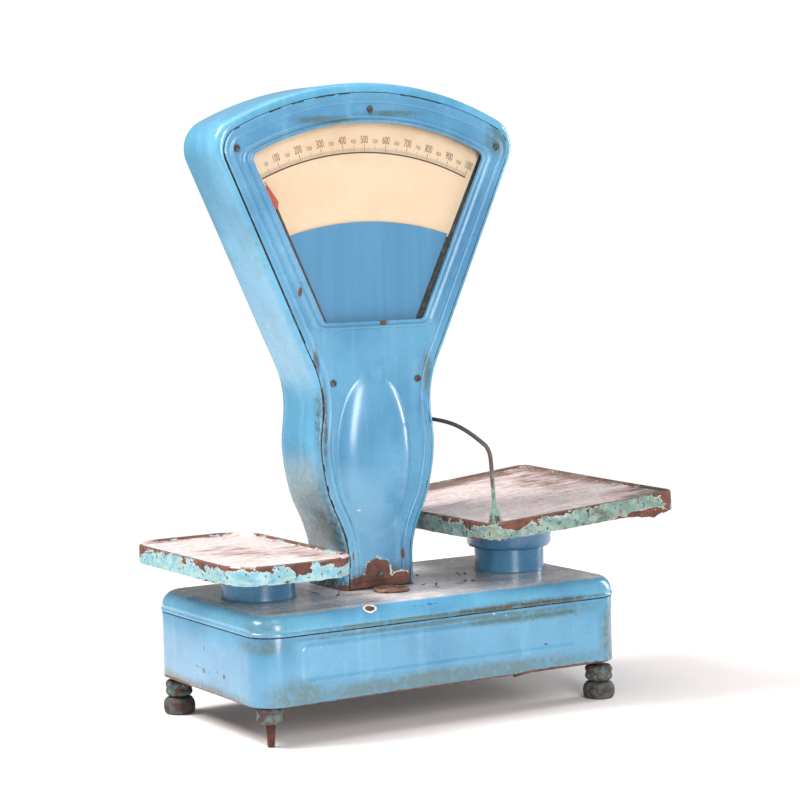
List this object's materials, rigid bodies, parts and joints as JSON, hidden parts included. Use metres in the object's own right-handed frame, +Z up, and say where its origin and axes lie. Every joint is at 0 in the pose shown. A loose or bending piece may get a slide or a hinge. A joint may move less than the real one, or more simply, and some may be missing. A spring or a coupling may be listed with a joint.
{
  "type": "counter dial scale",
  "caption": "Painted steel counter scale: fan-shaped dial tower on a box base, a goods pan with wire guard, a weights pan, levelling feet and a working beam mechanism.",
  "frame": {"origin": "centre of the whole object's box, on the surface that it stands on", "axes": "+Z up, +X towards the goods pan, -Y towards the front dial"},
  "size_m": [0.5686, 0.3154, 0.7215],
  "materials": {
    "blue_paint": "light blue gloss enamel, chipped and dirty",
    "collar_paint": "darker blue gloss enamel",
    "mask_paint": "satin blue paint",
    "pan_enamel": "worn blue-green enamel over rust",
    "rust": "rusted steel",
    "foot_paint": "dark worn paint",
    "dial_cream": "matt cream lacquer",
    "pointer_red": "red lacquer",
    "glass": "clear window glass",
    "cast_iron": "raw casting",
    "steel": "ground steel",
    "brass": "turned brass"
  },
  "bodies": {
    "base": {"base_housing": "blue_paint", "base_lid": "blue_paint", "base_plate": "cast_iron", "goods_collar": "collar_paint", "weights_collar": "collar_paint", "level_cap": "rust", "lock_nut_front_left": "foot_paint", "lock_nut_front_right": "foot_paint", "lock_nut_back_left": "foot_paint", "lock_nut_back_right": "foot_paint", "tower_band": "blue_paint", "front_cover": "blue_paint", "rear_cover": "blue_paint", "front_glass": "glass", "rear_glass": "glass", "front_dial": "dial_cream", "rear_dial": "dial_cream", "front_mask": "mask_paint", "rear_mask": "mask_paint", "tie_bolt_top_left": "rust", "tie_bolt_top_right": "rust", "tie_bolt_top": "rust", "tie_bolt_waist_left": "rust", "tie_bolt_waist_right": "rust", "tie_bolt_foot": "rust", "quadrant_frame": "cast_iron", "front_bearing": "brass", "rear_bearing": "brass", "fulcrum_stand": "cast_iron", "front_fulcrum_bearing": "steel", "rear_fulcrum_bearing": "steel", "stay_stand": "cast_iron", "damper_cylinder": "brass"},
    "beam": {"main_beam": "cast_iron", "fulcrum_knife": "steel", "goods_knife": "steel", "weights_knife": "steel", "tare_rod": "steel"},
    "tare": {"tare_weight": "brass"},
    "goods_carrier": {"goods_stem": "collar_paint", "goods_support": "rust", "goods_pan": "pan_enamel", "goods_guard": "rust"},
    "weights_carrier": {"weights_stem": "collar_paint", "weights_support": "rust", "weights_pan": "pan_enamel"},
    "goods_check_rod": {"goods_stay": "steel"},
    "weights_check_rod": {"weights_stay": "steel"},
    "tape": {"pull_tape": "steel"},
    "pointers": {"pointer_shaft": "steel", "front_pointer": "pointer_red", "rear_pointer": "pointer_red", "pendulum": "cast_iron"},
    "piston": {"damper_piston": "steel"},
    "lever": {"lock_lever": "rust"},
    "screw_front_left": {"foot_front_left": "rust"},
    "screw_front_right": {"foot_front_right": "foot_paint"},
    "screw_back_left": {"foot_back_left": "foot_paint"},
    "screw_back_right": {"foot_back_right": "foot_paint"}
  },
  "joints": [
    {"name": "beam_tilt", "type": "hinge", "parent": "base", "child": "beam", "pos_m": [-0.01927, 0, 0.105], "axis": [0, 1, 0], "range_deg": [0, 6], "stiffness_Nm_per_rad": 16, "springref_deg": -6.88},
    {"name": "tare_slide", "type": "slide", "parent": "beam", "child": "tare", "axis": [0.9986, 0, 0.0523], "range_m": [-0.03, 0.03]},
    {"name": "goods_lift", "type": "slide", "parent": "base", "child": "goods_carrier", "axis": [0, 0, 1], "range_m": [-0.018, 0]},
    {"name": "weights_lift", "type": "slide", "parent": "base", "child": "weights_carrier", "axis": [0, 0, 1], "range_m": [0, 0.018]},
    {"name": "goods_stay_turn", "type": "hinge", "parent": "base", "child": "goods_check_rod", "pos_m": [-0.01927, 0, 0.071], "axis": [0, 1, 0], "range_deg": [0, 6]},
    {"name": "weights_stay_turn", "type": "hinge", "parent": "base", "child": "weights_check_rod", "pos_m": [-0.01927, 0, 0.071], "axis": [0, 1, 0], "range_deg": [0, 6]},
    {"name": "tape_pull", "type": "slide", "parent": "base", "child": "tape", "axis": [0, 0, 1], "range_m": [0, 0.0035]},
    {"name": "pointer_turn", "type": "hinge", "parent": "base", "child": "pointers", "pos_m": [-0.04767, 0.013, 0.32], "axis": [0, 1, 0], "range_deg": [0, 48.7]},
    {"name": "piston_lift", "type": "slide", "parent": "base", "child": "piston", "axis": [0, 0, 1], "range_m": [0, 0.0095]},
    {"name": "lock_turn", "type": "hinge", "parent": "base", "child": "lever", "pos_m": [0.08073, -0.108, 0.0385], "axis": [0, 0, 1], "range_deg": [0, 60]},
    {"name": "screw_turn_front_left", "type": "hinge", "parent": "base", "child": "screw_front_left", "pos_m": [-0.23827, -0.1123, 0.045], "axis": [0, 0, 1], "continuous": true},
    {"name": "screw_turn_front_right", "type": "hinge", "parent": "base", "child": "screw_front_right", "pos_m": [0.19973, -0.1123, 0.045], "axis": [0, 0, 1], "continuous": true},
    {"name": "screw_turn_back_left", "type": "hinge", "parent": "base", "child": "screw_back_left", "pos_m": [-0.23827, 0.1123, 0.045], "axis": [0, 0, 1], "continuous": true},
    {"name": "screw_turn_back_right", "type": "hinge", "parent": "base", "child": "screw_back_right", "pos_m": [0.19973, 0.1123, 0.045], "axis": [0, 0, 1], "continuous": true}
  ],
  "couplings": [
    {"joint": "goods_lift", "follows": "beam_tilt", "m_per_rad": -0.1705},
    {"joint": "weights_lift", "follows": "beam_tilt", "m_per_rad": 0.1705},
    {"joint": "goods_stay_turn", "follows": "beam_tilt", "ratio": 1},
    {"joint": "weights_stay_turn", "follows": "beam_tilt", "ratio": 1},
    {"joint": "tape_pull", "follows": "beam_tilt", "m_per_rad": 0.0324},
    {"joint": "pointer_turn", "follows": "beam_tilt", "ratio": 8.1},
    {"joint": "piston_lift", "follows": "beam_tilt", "m_per_rad": 0.09}
  ]
}
